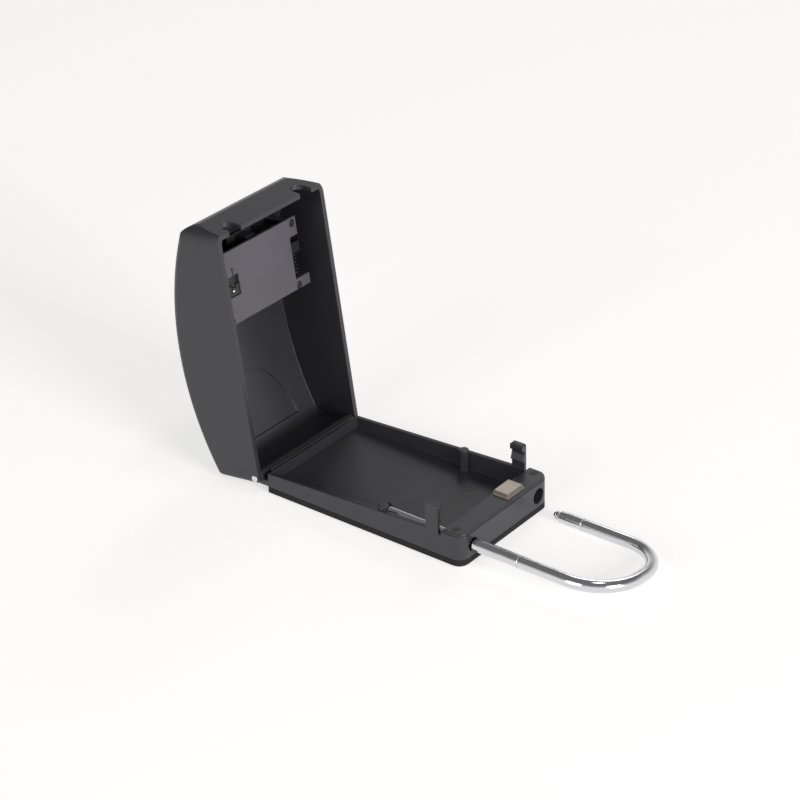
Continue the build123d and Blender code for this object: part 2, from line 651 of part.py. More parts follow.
def dial_cam(y):
    """Disc beside the number wheel, with the gate that the latch looks for."""
    y0 = y + DIAL_WIDTH / 2
    y1 = y0 + CAM_WIDTH
    cam = axle(DIAL_X, DIAL_Z, y0, y1, CAM_R)
    cam -= block(
        DIAL_X - CAM_GATE / 2, DIAL_X + CAM_GATE / 2, y0, y1, DIAL_Z - CAM_R - 1, DIAL_Z - CAM_R + CAM_GATE
    )
    return cam - axle(DIAL_X, DIAL_Z, y0, y1, SPINDLE_R + SPINDLE_CLEARANCE)


def dial_shutter():
    """Curved slide over the dials, with a tongue along each side and a finger ridge."""
    r0, r1 = CHANNEL_R + 0.2, CHANNEL_R + 0.2 + SHUTTER_THICKNESS
    side = CHANNEL_HALF_WIDTH - SHUTTER_SIDE_GAP
    plate = arc_slab(r0, r1, SHUTTER_START, SHUTTER_END, -side, side)
    tongue = side + TONGUE_DEPTH
    plate += arc_slab(r0 + 0.1, r0 + 0.9, SHUTTER_START, SHUTTER_END, -tongue, tongue)
    step = degrees(2.4 / FRONT_R)
    for i in range(5):
        start = SHUTTER_START + 1.2 + i * step
        plate -= arc_slab(r1 - 0.5, r1 + 1, start, start + step / 2, -GRIP_HALF_WIDTH, GRIP_HALF_WIDTH)
    return plate


def latch_plate():
    """Sliding plate with two arms whose ears hook under the heads of the tray's posts."""
    z0, z1 = LATCH_Z, LATCH_Z + LATCH_THICKNESS
    plate = block(LATCH_X, LATCH_END_X, -LATCH_HALF_WIDTH, LATCH_HALF_WIDTH, z0, z1)
    arm_y0, arm_y1 = LATCH_ARM_Y, LATCH_ARM_Y + LATCH_ARM_WIDTH
    ear_y = POST_WEB_Y - RUNNING_GAP
    ear_top = LATCH_EAR_Z + LATCH_EAR_THICKNESS
    arm = block(ARM_X, LATCH_END_X - 5, LATCH_HALF_WIDTH, arm_y1, z0, z1)
    arm += block(ARM_X, LATCH_END_X - 5, arm_y0, arm_y1, z0, ear_top)
    arm += block(ARM_X, LATCH_EAR_X, arm_y0, arm_y1, LATCH_EAR_Z, ear_top)
    arm += block(POST_X + 0.5, LATCH_EAR_X, arm_y0, ear_y, LATCH_EAR_Z, ear_top)
    plate += both_sides(arm)
    plate += block(LATCH_X, STEM_X + STEM_HALF, -STEM_HALF - 2, STEM_HALF + 2, z0, z1)
    for y in (-GUIDE_Y, GUIDE_Y):
        slide = block(GUIDE_X, GUIDE_X + LATCH_TRAVEL, y - GUIDE_SLOT_R, y + GUIDE_SLOT_R, z0, z1)
        ends = post(GUIDE_X, y, z0, z1, GUIDE_SLOT_R) + post(GUIDE_X + LATCH_TRAVEL, y, z0, z1, GUIDE_SLOT_R)
        plate -= slide + ends
    return plate - post(STEM_X, 0, z0 - 1, z1 + 1, SCREW_R)


def latch_guide_rivets():
    """Headed pins on the mechanism plate that the latch plate slides under."""
    top = LATCH_Z + LATCH_THICKNESS + 0.1
    return [
        post(GUIDE_X, y, PLATE_TOP - GUIDE_SEAT, top, GUIDE_R) + post(GUIDE_X, y, top, top + 0.8, 2.6)
        for y in (-GUIDE_Y, GUIDE_Y)
    ]


def latch_springs():
    """Two coil springs between the mechanism plate's edge and the latch."""
    length = SPRING_END_X - SPRING_X
    z = LATCH_Z + LATCH_THICKNESS / 2 + 0.4
    path = Pos(SPRING_X, 0, z) * Rot(0, 90, 0) * Helix(length / SPRING_TURNS, length, SPRING_R)
    wire = sweep(Plane(path @ 0, z_dir=path % 0) * Circle(SPRING_WIRE_R), path=path)
    return [Pos(0, y, 0) * wire for y in (-SPRING_Y, SPRING_Y)]


def open_button():
    """Sliding button in the panel, with a flange under it and a stem to the latch plate."""
    x0, x1 = BUTTON_X, BUTTON_X + BUTTON_LENGTH
    side = BUTTON_HALF_WIDTH
    cap = block(x0, x1, -side, side, FLANGE_TOP_Z - 3, COVER_HEIGHT)
    cap &= arc_slab(FRONT_R / 2, CHANNEL_R - 0.1, 0, 40, -side, side)
    for i in range(3):
        x = x0 + 2 + 2 * i
        cap -= arc_slab(CHANNEL_R - 0.6, FRONT_R, front_angle(x), front_angle(x + 0.9), -side, side)
    flange_side = side + 2
    cap += block(x0 - 2, x1 + 1, -flange_side, flange_side, FLANGE_TOP_Z - 3, FLANGE_TOP_Z - 1.4)
    stem = block(STEM_X - STEM_HALF, x1, -STEM_HALF, STEM_HALF, LATCH_Z + LATCH_THICKNESS, FLANGE_TOP_Z - 3)
    return cap + stem - post(STEM_X, 0, 0, LATCH_Z + LATCH_THICKNESS + 5, SCREW_R)


def button_screw():
    top = LATCH_Z
    return post(STEM_X, 0, top - 0.7, top, 2.4) + post(STEM_X, 0, top, top + LATCH_THICKNESS + 4.5, SCREW_R)


def ring_on_rod(x0, thickness):
    """Ring round the captive leg's rod."""
    ring = rod(-LEG_Y, LEG_Z, x0, x0 + thickness, CLIP_RING_R)
    return ring - rod(-LEG_Y, LEG_Z, x0, x0 + thickness, ROD_R + RING_CLEARANCE)


def shackle():
    """Round bar with a long thin captive leg and a short free leg, in line with its holes."""
    arc_r = BEND_LENGTH
    flat = LEG_Y - arc_r
    path = Wire([
        Line((SHOULDER_X, -LEG_Y, LEG_Z), (BEND_X, -LEG_Y, LEG_Z)),
        CenterArc((BEND_X, -flat, LEG_Z), arc_r, -90, 90),
        Line((BEND_X + arc_r, -flat, LEG_Z), (BEND_X + arc_r, flat, LEG_Z)),
        CenterArc((BEND_X, flat, LEG_Z), arc_r, 0, 90),
        Line((BEND_X, LEG_Y, LEG_Z), (HEAD_END_X, LEG_Y, LEG_Z)),
    ])
    bar = sweep(Plane((SHOULDER_X, -LEG_Y, LEG_Z), z_dir=(1, 0, 0)) * Circle(LEG_R), path=path)
    captive = rod(-LEG_Y, LEG_Z, ROD_END_X, SHOULDER_X + 1, ROD_R)
    captive = chamfer(captive.edges().filter_by(GeomType.CIRCLE).sort_by(Axis.X)[0], 0.5)
    shoulder = Pos(SHOULDER_X + 0.4, -LEG_Y, LEG_Z) * Rot(0, 90, 0) * Cone(ROD_R, LEG_R, 0.8)
    groove_end = TIP_X + NOSE_LENGTH + GROOVE_LENGTH
    free = Pos(TIP_X + NOSE_LENGTH / 2, LEG_Y, LEG_Z) * Rot(0, 90, 0) * Cone(NOSE_R - 1.1, NOSE_R, NOSE_LENGTH)
    free += rod(LEG_Y, LEG_Z, TIP_X + NOSE_LENGTH, groove_end, GROOVE_R)
    head = rod(LEG_Y, LEG_Z, groove_end, HEAD_END_X, HEAD_R)
    free += chamfer(head.edges().filter_by(GeomType.CIRCLE).sort_by(Axis.X)[0], HEAD_BEVEL)
    body = bar - block(SHOULDER_X - 1, SHOULDER_X + 0.8, -HALF, 0, 0, 40) + captive + shoulder + free
    neck = rod(-LEG_Y, LEG_Z, CLIP_X, CLIP_X + CLIP_THICKNESS + 0.2, ROD_R + 1)
    body -= neck - rod(-LEG_Y, LEG_Z, CLIP_X, CLIP_X + CLIP_THICKNESS + 0.2, CLIP_GROOVE_R)
    for y in (-LEG_Y, LEG_Y):
        band = rod(y, LEG_Z, RING_MARK_X, RING_MARK_X + RING_MARK_WIDTH, LEG_R + 1)
        body -= band - rod(y, LEG_Z, RING_MARK_X, RING_MARK_X + RING_MARK_WIDTH, LEG_R - RING_MARK_DEPTH)
    return body


def shackle_clip():
    """Clip in the groove at the inner end of the captive leg."""
    x0, x1 = CLIP_X + 0.1, CLIP_X + 0.1 + CLIP_THICKNESS
    ring = rod(-LEG_Y, LEG_Z, x0, x1, CLIP_RING_R)
    ring -= rod(-LEG_Y, LEG_Z, x0, x1, CLIP_GROOVE_R + RING_CLEARANCE)
    return ring - block(x0, x1, -LEG_Y - 1.3, -LEG_Y + 1.3, LEG_Z, LEG_Z + CLIP_RING_R + 1)


def shackle_washer():
    return ring_on_rod(WASHER_X, WASHER_THICKNESS)


def shackle_bumper():
    ring = ring_on_rod(BUMPER_X, BUMPER_THICKNESS)
    outer = ring.edges().filter_by(GeomType.CIRCLE).sort_by(SortBy.RADIUS)[-2:]
    return fillet(outer, 0.4)


def shackle_lock_slider():
    """Metal block on the deck that slides sideways to lock the shackle."""
    z0 = DECK_TOP + SEAT_GAP
    block_body = block(BLOCK_X, BLOCK_X + BLOCK_LENGTH, BLOCK_Y, BLOCK_Y + BLOCK_WIDTH, z0, z0 + BLOCK_HEIGHT)
    top = block_body.edges().group_by(Axis.Z)[-1]
    block_body = chamfer(top.sort_by(Axis.X)[-1], BLOCK_BEVEL)
    near = block_body.edges().group_by(Axis.Z)[-1].filter_by(Axis.X).sort_by(Axis.Y)[0]
    block_body = chamfer(near, BLOCK_BEVEL)
    x0, x1, y0, y1 = stem_plan()
    stem = block(x0, x1, y0, y1, LEG_Z + BOLT_HEIGHT / 2, z0)
    hole = post((x0 + x1) / 2, (y0 + y1) / 2, 0, WALL_TOP_DECK, SCREW_R)
    return block_body + stem - hole


def shackle_lock_bolt():
    """Steel blade under the deck that enters the groove of the free leg's tip."""
    x0, x1, y0, y1 = stem_plan()
    z0, z1 = LEG_Z - BOLT_HEIGHT / 2, LEG_Z + BOLT_HEIGHT / 2
    foot = block(x0 - 1.5, x1, y0, y1, z1 - 1.5, z1)
    blade_x = BOLT_X
    foot += block(blade_x, x1, y0, y1, z1 - 1.5, z1)
    blade = block(blade_x, blade_x + BOLT_THICKNESS, y0, BOLT_REACH, z0, z1)
    return foot + blade - post((x0 + x1) / 2, (y0 + y1) / 2, 0, 60, SCREW_R)


def shackle_lock_screw():
    x0, x1, y0, y1 = stem_plan()
    x, y = (x0 + x1) / 2, (y0 + y1) / 2
    seat = LEG_Z + BOLT_HEIGHT / 2 - 1.5
    return post(x, y, seat - 1, seat, 2.3) + post(x, y, seat, WALL_TOP_DECK - 0.5, SCREW_R)


# Where each assembly stands in the open safe
OPENED = Pos(PIN_X, 0, PIN_Z) * Rot(0, -OPEN_ANGLE, 0) * Pos(-PIN_X, 0, -PIN_Z)
DROOPED = Pos(0, -LEG_Y, LEG_Z) * Rot(-DROOP, 0, 0) * Pos(0, LEG_Y, -LEG_Z)
ORIGIN = Pos(-TRAY_LENGTH / 2, 0, 0)


def in_cover():
    """Pieces that are drawn in the shut cover."""
    pieces = {
        "cover_shell": cover_shell(),
        "mechanism_plate": mechanism_plate(),
        "mechanism_screws": mechanism_screws(),
        "reset_lever": reset_lever(),
        "reset_lever_rivet": reset_lever_rivet(),
        "dial_panel": dial_panel(),
        "dial_frame": dial_frame(),
        "dial_spindle": dial_spindle(),
        "spindle_clips": spindle_clips(),
        "detent_spring": detent_spring(),
        "detent_screws": detent_screws(),
        "dial_shutter": dial_shutter(),
        "latch_plate": latch_plate(),
        "latch_guide_rivets": latch_guide_rivets(),
        "latch_springs": latch_springs(),
        "open_button": open_button(),
        "button_screw": button_screw(),
    }
    for number, y in enumerate(DIAL_YS, 1):
        pieces[f"dial_wheel_{number}"] = dial_wheel(y)
        pieces[f"dial_cam_{number}"] = dial_cam(y)
    return pieces


def in_tray():
    """Pieces that stand in the tray."""
    return {
        "base_tray": base_tray(),
        "rubber_base_pad": rubber_base_pad(),
        "deck_plate": deck_plate(),
        "deck_screws": deck_screws(),
        "hinge_pin": hinge_pin(),
        "shackle_lock_slider": shackle_lock_slider(),
        "shackle_lock_bolt": shackle_lock_bolt(),
        "shackle_lock_screw": shackle_lock_screw(),
    }


def on_shackle():
    """Pieces that turn about the captive leg."""
    return {
        "shackle": shackle(),
        "shackle_clip": shackle_clip(),
        "shackle_washer": shackle_washer(),
        "shackle_bumper": shackle_bumper(),
    }


def write(pieces, place):
    """Write one file for each piece, or for each group of like pieces."""
    for name, shape in pieces.items():
        solids = shape if isinstance(shape, list) else [shape]
        placed = [ORIGIN * place * solid for solid in solids]
        export_step(placed[0] if len(placed) == 1 else Compound(placed), f"parts/{name}.step")


os.makedirs("parts", exist_ok=True)
write(in_tray(), Pos(0, 0, 0))
write(in_cover(), OPENED)
write(on_shackle(), DROOPED)
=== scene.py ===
import math

import bpy
from mathutils import Matrix, Vector


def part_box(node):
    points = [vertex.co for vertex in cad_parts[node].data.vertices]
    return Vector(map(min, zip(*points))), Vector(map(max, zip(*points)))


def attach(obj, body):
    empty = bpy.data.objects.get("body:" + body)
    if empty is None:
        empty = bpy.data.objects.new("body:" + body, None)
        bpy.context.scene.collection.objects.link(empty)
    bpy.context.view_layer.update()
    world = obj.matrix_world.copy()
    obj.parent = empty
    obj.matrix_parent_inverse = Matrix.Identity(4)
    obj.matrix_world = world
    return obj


bl_info = {
    "name": "Padlock key safe",
    "version": (1, 0, 0),
    "blender": (4, 5, 0),
    "location": "3D View > Sidebar > Key safe",
    "description": "Finishes, marks and studio for an open key safe with a shackle",
    "category": "Add Mesh",
}

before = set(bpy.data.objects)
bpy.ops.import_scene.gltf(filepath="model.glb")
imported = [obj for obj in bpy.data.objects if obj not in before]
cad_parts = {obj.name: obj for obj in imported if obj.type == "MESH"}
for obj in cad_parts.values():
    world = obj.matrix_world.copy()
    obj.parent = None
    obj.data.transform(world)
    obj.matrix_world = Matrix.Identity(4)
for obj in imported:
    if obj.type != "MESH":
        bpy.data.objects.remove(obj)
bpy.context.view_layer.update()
MM = 0.001


def srgb(hex_colour):
    """Linear red, green, blue and alpha of an sRGB colour such as "2B2A2E"."""
    parts = [int(hex_colour[i:i + 2], 16) / 255 for i in (0, 2, 4)]
    linear = [c / 12.92 if c <= 0.04045 else ((c + 0.055) / 1.055) ** 2.4 for c in parts]
    return (*linear, 1.0)


def colour(name, description, hex_colour):
    """Colour property of a finish."""
    return bpy.props.FloatVectorProperty(
        name=name, description=description, subtype="COLOR", size=4, min=0, max=1, default=srgb(hex_colour)
    )


def length(name, description, millimetres):
    """Length property, kept in metres."""
    return bpy.props.FloatProperty(
        name=name, description=description, default=millimetres * MM, subtype="DISTANCE", unit="LENGTH"
    )


class FinishSettings(bpy.types.PropertyGroup):
    """Colours of the safe's finishes."""

    coat: colour("Powder coat", "Black powder coat of the tray and the cover", "302F34")
    plate: colour("Mechanism plate", "Moulded plate inside the cover", "56545A")
    plastic: colour("Black plastic", "Moulded dials' panel, shutter and button", "222225")
    rubber: colour("Base pad", "Rubber under the tray", "1B1A1C")
    chrome: colour("Chrome", "Plated shackle", "DADADD")
    nickel: colour("Nickel", "Brushed lock block", "B3A89C")
    zinc: colour("Zinc plate", "Plated steel inside the cover", "A9ABAE")
    brass: colour("Brass", "Dial wheels", "B08D57")
    nylon: colour("Nylon", "Washer on the captive leg", "2A2A2C")
    ink: colour("Digits", "Filled numbers on the dials", "E8E8E4")


class MarkSettings(bpy.types.PropertyGroup):
    """Sizes of the marks."""

    digit_size: length("Digit size", "Size of the type on a dial", 5.0)
    digit_depth: length("Digit depth", "Thickness of a filled number", 0.3)
    digit_rise: length("Digit rise", "How far a number stands off its dial", 0.05)
    ring_radius: length("Ejector mark radius", "Radius of the round marks in the tray's floor", 3.2)
    ring_line: length("Ejector mark line", "Half the width of a round mark's line", 0.12)
    arrow_length: length("Arrow length", "Length of the arrow beside the reset lever", 5.0)
    arrow_width: length("Arrow width", "Width of the arrow's head", 3.0)
    arrow_rise: length("Arrow rise", "How far the arrow stands off the plate", 0.15)


def add_node(tree, kind, links=None, **settings):
    """Adds a node with its settings. links maps an input to a value or to another node's output."""
    made = tree.nodes.new(kind)
    for key, value in settings.items():
        setattr(made, key, value)
    for key, value in (links or {}).items():
        if isinstance(value, bpy.types.NodeSocket):
            tree.links.new(value, made.inputs[key])
        else:
            made.inputs[key].default_value = value
    return made


def new_material(name):
    """Empty node material and its Principled shader."""
    material = bpy.data.materials.new(name)
    material.use_nodes = True
    tree = material.node_tree
    tree.nodes.clear()
    shader = add_node(tree, "ShaderNodeBsdfPrincipled")
    output = add_node(tree, "ShaderNodeOutputMaterial")
    tree.links.new(shader.outputs["BSDF"], output.inputs["Surface"])
    return material, tree, shader


def object_space(tree, stretch=(1, 1, 1)):
    """Object coordinates, squeezed along each axis by the stretch."""
    place = add_node(tree, "ShaderNodeTexCoord").outputs["Object"]
    return add_node(tree, "ShaderNodeMapping", {"Vector": place, "Scale": stretch}).outputs[0]


def grain(tree, place, size_mm, detail=3.0):
    """Noise whose features are about this size."""
    return add_node(
        tree, "ShaderNodeTexNoise", {"Vector": place, "Scale": 1 / (size_mm * MM), "Detail": detail}
    ).outputs["Fac"]


NOISE_LOW = 0.3
NOISE_HIGH = 0.7


def spread(tree, value, low, high):
    """Noise's usual range moved to the range from low to high."""
    return add_node(tree, "ShaderNodeMapRange", {
        "Value": value, "From Min": NOISE_LOW, "From Max": NOISE_HIGH,
        "To Min": low, "To Max": high}).outputs[0]


def tinted(tree, value, base, darker, lighter):
    """Base colour that a noise makes a little darker and lighter."""
    ramp = add_node(tree, "ShaderNodeValToRGB", {"Fac": value})
    ramp.color_ramp.elements[0].position = NOISE_LOW
    ramp.color_ramp.elements[1].position = NOISE_HIGH
    for element, factor in zip(ramp.color_ramp.elements, (darker, lighter)):
        element.color = (*[min(c * factor, 1) for c in base[:3]], 1)
    return ramp.outputs["Color"]


EDGE_ROUND_MM = 0.7
EDGE_SAMPLES = 6
DRIFT_MM = 18
GLOSS_SPREAD = 0.04


def bumped(tree, shader, height, depth_mm):
    """Bump of a real depth on the shader, over edges that are rounded as a cast or moulded edge is."""
    edges = add_node(tree, "ShaderNodeBevel", {"Radius": EDGE_ROUND_MM * MM}, samples=EDGE_SAMPLES)
    bump = add_node(tree, "ShaderNodeBump", {
        "Height": height, "Distance": depth_mm * MM, "Normal": edges.outputs["Normal"]})
    tree.links.new(bump.outputs["Normal"], shader.inputs["Normal"])


def coated(name, base, roughness, peel_mm, depth_mm, specular=0.5):
    """Polymer or painted surface: broad colour drift, fine texture and uneven gloss."""
    material, tree, shader = new_material(name)
    place = object_space(tree)
    drift = grain(tree, place, DRIFT_MM, detail=2)
    tree.links.new(tinted(tree, drift, base, darker=0.94, lighter=1.06), shader.inputs["Base Color"])
    fine = grain(tree, place, peel_mm, detail=4)
    gloss = spread(tree, fine, roughness - GLOSS_SPREAD, roughness + GLOSS_SPREAD)
    tree.links.new(gloss, shader.inputs["Roughness"])
    shader.inputs["Specular IOR Level"].default_value = specular
    bumped(tree, shader, fine, depth_mm)
    return material


def powder_coat(name, base):
    """Baked powder coat: satin black with a fine orange peel that softens every highlight."""
    return coated(name, base, roughness=0.33, peel_mm=0.9, depth_mm=0.01)


def moulded_plastic(name, base):
    """Spark-textured moulded ABS: an even fine grain that scatters light widely."""
    return coated(name, base, roughness=0.5, peel_mm=0.5, depth_mm=0.02, specular=0.45)


def base_rubber(name, base):
    """Moulded rubber: dull and nearly black, with small pores."""
    return coated(name, base, roughness=0.75, peel_mm=0.7, depth_mm=0.05, specular=0.3)


def brushed_metal(name, base, roughness, line_mm, stretch, depth_mm):
    """Metal with fine lines along one way."""
    material, tree, shader = new_material(name)
    place = object_space(tree, stretch)
    lines = grain(tree, place, line_mm, detail=2)
    tree.links.new(tinted(tree, lines, base, darker=0.85, lighter=1.1), shader.inputs["Base Color"])
    tree.links.new(spread(tree, lines, roughness - 0.06, roughness + 0.08), shader.inputs["Roughness"])
    shader.inputs["Metallic"].default_value = 1.0
    bumped(tree, shader, lines, depth_mm)
    return material


def chrome_plate(name, base):
    """Bright chrome plate over drawn bar: a mirror with faint waves and hairline scuffs along the bar."""
    material, tree, shader = new_material(name)
    place = object_space(tree)
    waves = grain(tree, place, size_mm=9, detail=1)
    scuffs = grain(tree, object_space(tree, (0.06, 1, 1)), size_mm=0.5, detail=3)
    tree.links.new(tinted(tree, scuffs, base, darker=0.9, lighter=1.04), shader.inputs["Base Color"])
    tree.links.new(spread(tree, scuffs, low=0.08, high=0.2), shader.inputs["Roughness"])
    shader.inputs["Metallic"].default_value = 1.0
    bumped(tree, shader, waves, depth_mm=0.03)
    return material


def paint_ink(name, base):
    """Filled paint of the digits: flat and slightly chalky."""
    return coated(name, base, roughness=0.6, peel_mm=0.4, depth_mm=0.01)


FINISH_OF = {
    "coat": ("base_tray", "deck_plate", "cover_shell"),
    "plate": ("mechanism_plate",),
    "plastic": ("dial_panel", "dial_shutter", "open_button", "reset_lever"),
    "rubber": ("rubber_base_pad", "shackle_bumper"),
    "oxide": ("deck_screws", "mechanism_screws", "latch_plate", "dial_frame", "latch_springs"),
    "chrome": ("shackle",),
    "turned": ("hinge_pin", "reset_lever_rivet", "latch_guide_rivets", "dial_spindle"),
    "nickel": ("shackle_lock_slider",),
    "zinc": ("shackle_lock_bolt", "shackle_lock_screw", "button_screw",
             "detent_screws", "dial_cam_1", "dial_cam_2", "dial_cam_3", "dial_cam_4"),
    "spring": ("detent_spring", "spindle_clips", "shackle_clip"),
    "brass": ("dial_wheel_1", "dial_wheel_2", "dial_wheel_3", "dial_wheel_4"),
    "nylon": ("shackle_washer",),
}


def make_finishes(settings):
    """All materials, by the name of their finish."""
    zinc = settings.zinc
    return {
        "coat": powder_coat("black_powder_coat", settings.coat),
        "plate": moulded_plastic("moulded_abs_plate", settings.plate),
        "plastic": moulded_plastic("moulded_abs_black", settings.plastic),
        "rubber": base_rubber("moulded_rubber", settings.rubber),
        "oxide": coated("black_oxide_steel", settings.plastic, 0.35, 0.5, 0.01),
        "chrome": chrome_plate("bright_chrome_plate", settings.chrome),
        "turned": brushed_metal("turned_steel", settings.chrome, 0.22, 0.25, (1, 0.2, 1), 0.004),
        "nickel": brushed_metal("brushed_nickel", settings.nickel, 0.34, 0.28, (1, 0.05, 1), 0.006),
        "zinc": brushed_metal("zinc_plated_steel", zinc, 0.38, 1.2, (1, 1, 0.3), 0.006),
        "spring": brushed_metal("spring_steel", zinc, 0.3, 0.3, (1, 1, 0.2), 0.004),
        "brass": brushed_metal("turned_brass", settings.brass, 0.32, 0.3, (1, 0.1, 1), 0.006),
        "nylon": moulded_plastic("black_nylon", settings.nylon),
        "ink": paint_ink("filled_paint", settings.ink),
    }


class KEYSAFE_OT_finishes(bpy.types.Operator):
    """Gives every construction piece its finish"""

    bl_idname = "keysafe.finishes"
    bl_label = "Finishes"

    def execute(self, context):
        finishes = make_finishes(context.scene.keysafe_finish)
        for finish, nodes in FINISH_OF.items():
            for name in nodes:
                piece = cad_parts[name]
                piece.data.materials.clear()
                piece.data.materials.append(finishes[finish])
        return {"FINISHED"}


CAMERA_PLACE = Vector((838.19, -1049.53, 819.52)) * MM
CAMERA_TURN = 38.75
CAMERA_HEIGHT = 29.15
CAMERA_ROLL = -1.64
FOCAL_PIXELS = 2534.18
PICTURE_PIXELS = 800
SENSOR_MM = 36.0
CAMERA_FAR = 20


def camera_axes():
    """Right, up and back of the camera, from its turn, its height and its roll."""
    turn, height, roll = (math.radians(v) for v in (CAMERA_TURN, CAMERA_HEIGHT, CAMERA_ROLL))
    back = Vector((math.sin(turn) * math.cos(height), -math.cos(turn) * math.cos(height), math.sin(height)))
    right = Vector((math.cos(turn), math.sin(turn), 0))
    up = back.cross(right)
    rolled_right = math.cos(roll) * right + math.sin(roll) * up
    return rolled_right, back.cross(rolled_right), back


def place_camera(scene):
    """Camera at the photograph's viewpoint."""
    data = bpy.data.cameras.new("studio_camera")
    data.sensor_fit = "HORIZONTAL"
    data.sensor_width = SENSOR_MM
    data.lens = FOCAL_PIXELS / PICTURE_PIXELS * SENSOR_MM
    data.clip_end = CAMERA_FAR
    camera = bpy.data.objects.new("studio_camera", data)
    turn = Matrix(camera_axes()).transposed().to_4x4()
    camera.matrix_world = Matrix.Translation(CAMERA_PLACE) @ turn
    scene.collection.objects.link(camera)
    scene.camera = camera


PAPER = "F4F4F4"
PAPER_BOUNCE = "DCDCDC"
PAPER_SHADE = "D0CECB"
PAPER_GLOW = 0.605
HORIZON_HEIGHT = 0.08
CEILING_HEIGHT = 0.6
HORIZON_LIGHT = 0.62
CEILING_LIGHT = 0.1
CEILING_SEEN = 0.2
FLOOR_HALF = 6.0


def by_height(tree, low, high):
    """Strength that goes from low at the horizon to high at the studio's ceiling."""
    place = add_node(tree, "ShaderNodeTexCoord").outputs["Generated"]
    way = add_node(tree, "ShaderNodeSeparateXYZ", {0: place})
    return add_node(tree, "ShaderNodeMapRange", {
        "Value": way.outputs["Z"], "From Min": HORIZON_HEIGHT, "From Max": CEILING_HEIGHT,
        "To Min": low, "To Max": high}, interpolation_type="SMOOTHSTEP").outputs[0]


def ray_kinds(tree, *kinds):
    """1 for a ray of any of these kinds, such as "Is Camera Ray", and 0 for the rest."""
    rays = add_node(tree, "ShaderNodeLightPath")
    value = rays.outputs[kinds[0]]
    for kind in kinds[1:]:
        pair = {0: value, 1: rays.outputs[kind]}
        value = add_node(tree, "ShaderNodeMath", pair, operation="MAXIMUM").outputs[0]
    return value


def paper_world(scene):
    """Pale surroundings with a dark ceiling: plain to the camera, and graded in reflections and as light."""
    world = bpy.data.worlds.new("studio_world")
    world.use_nodes = True
    tree = world.node_tree
    tree.nodes.clear()
    paper = srgb(PAPER)
    plain = add_node(tree, "ShaderNodeBackground", {"Color": paper, "Strength": 1.0})
    mirrored = add_node(tree, "ShaderNodeBackground", {
        "Color": paper, "Strength": by_height(tree, 1.0, CEILING_SEEN)})
    light = add_node(tree, "ShaderNodeBackground", {
        "Color": paper, "Strength": by_height(tree, HORIZON_LIGHT, CEILING_LIGHT)})
    unseen = add_node(tree, "ShaderNodeMixShader", {
        0: ray_kinds(tree, "Is Glossy Ray"), 1: light.outputs[0], 2: mirrored.outputs[0]})
    seen = add_node(tree, "ShaderNodeMixShader", {
        0: ray_kinds(tree, "Is Camera Ray", "Is Transmission Ray"),
        1: unseen.outputs[0], 2: plain.outputs[0]})
    add_node(tree, "ShaderNodeOutputWorld", {"Surface": seen.outputs[0]})
    scene.world = world


def paper_floor(scene):
    """White paper: as pale as the surroundings where it is seen or mirrored, with the shadow kept."""
    mesh = bpy.data.meshes.new("studio_floor")
    half = FLOOR_HALF
    corners = [(-half, -half, 0), (half, -half, 0), (half, half, 0), (-half, half, 0)]
    mesh.from_pydata(corners, [], [(0, 1, 2, 3)])
    floor = bpy.data.objects.new("studio_floor", mesh)
    scene.collection.objects.link(floor)
    material = bpy.data.materials.new("white_paper")
    material.use_nodes = True
    tree = material.node_tree
    tree.nodes.clear()
    matt = add_node(tree, "ShaderNodeBsdfDiffuse", {"Color": srgb(PAPER_BOUNCE)})
    shade = add_node(tree, "ShaderNodeBsdfDiffuse", {"Color": srgb(PAPER_SHADE)})
    glow = add_node(tree, "ShaderNodeEmission", {"Color": srgb("FFFFFF"), "Strength": PAPER_GLOW})
    both = add_node(tree, "ShaderNodeAddShader", {0: shade.outputs[0], 1: glow.outputs[0]})
    mix = add_node(tree, "ShaderNodeMixShader", {
        0: ray_kinds(tree, "Is Camera Ray", "Is Glossy Ray", "Is Transmission Ray"),
        1: matt.outputs[0], 2: both.outputs[0]})
    add_node(tree, "ShaderNodeOutputMaterial", {"Surface": mix.outputs[0]})
    mesh.materials.append(material)


LAMP_AIM = Vector((0, 0, 0.05))
# Name, place in metres, size in metres and power in watts
LAMPS = (
    ("key", (3.3, -0.7, 0.95), 1.4, 100.0),
    ("fill", (-0.2, -3.4, 1.1), 1.8, 42.0),
    ("rim", (-0.9, 2.4, 2.2), 1.2, 13.0),
    ("strip", (0.5, 0.2, 2.4), 0.4, 5.0),
)


def studio_lamps(scene):
    """Soft boxes aimed at the safe."""
    for name, place, size, power in LAMPS:
        data = bpy.data.lights.new(f"studio_{name}", "AREA")
        data.size = size
        data.energy = power
        lamp = bpy.data.objects.new(f"studio_{name}", data)
        way = LAMP_AIM - Vector(place)
        lamp.matrix_world = Matrix.Translation(place) @ way.to_track_quat("-Z", "Y").to_matrix().to_4x4()
        scene.collection.objects.link(lamp)


PIN_PLACE = Vector((-82.45, 0, 9.73)) * MM
TRAY_HALF_LENGTH = 75.25 * MM
OPEN_ANGLE = 97.8
DIALS = 4
DIGITS = 10
DIGIT_PHASE = 0.5


def opened():
    """Moves what is drawn in the shut cover, with X from the tray's hinge end, to where the open cover is."""
    drawn = PIN_PLACE + Vector((TRAY_HALF_LENGTH, 0, 0))
    turn = Matrix.Rotation(-math.radians(OPEN_ANGLE), 4, "Y")
    return Matrix.Translation(PIN_PLACE) @ turn @ Matrix.Translation(-drawn)


def geometry_tree(name, sizes):
    """New geometry tree with a named length input for each size, and its input node."""
    tree = bpy.data.node_groups.new(name, "GeometryNodeTree")
    tree.interface.new_socket("Geometry", in_out="OUTPUT", socket_type="NodeSocketGeometry")
    for size in sizes:
        tree.interface.new_socket(size, in_out="INPUT", socket_type="NodeSocketFloat")
    return tree, add_node(tree, "NodeGroupInput")


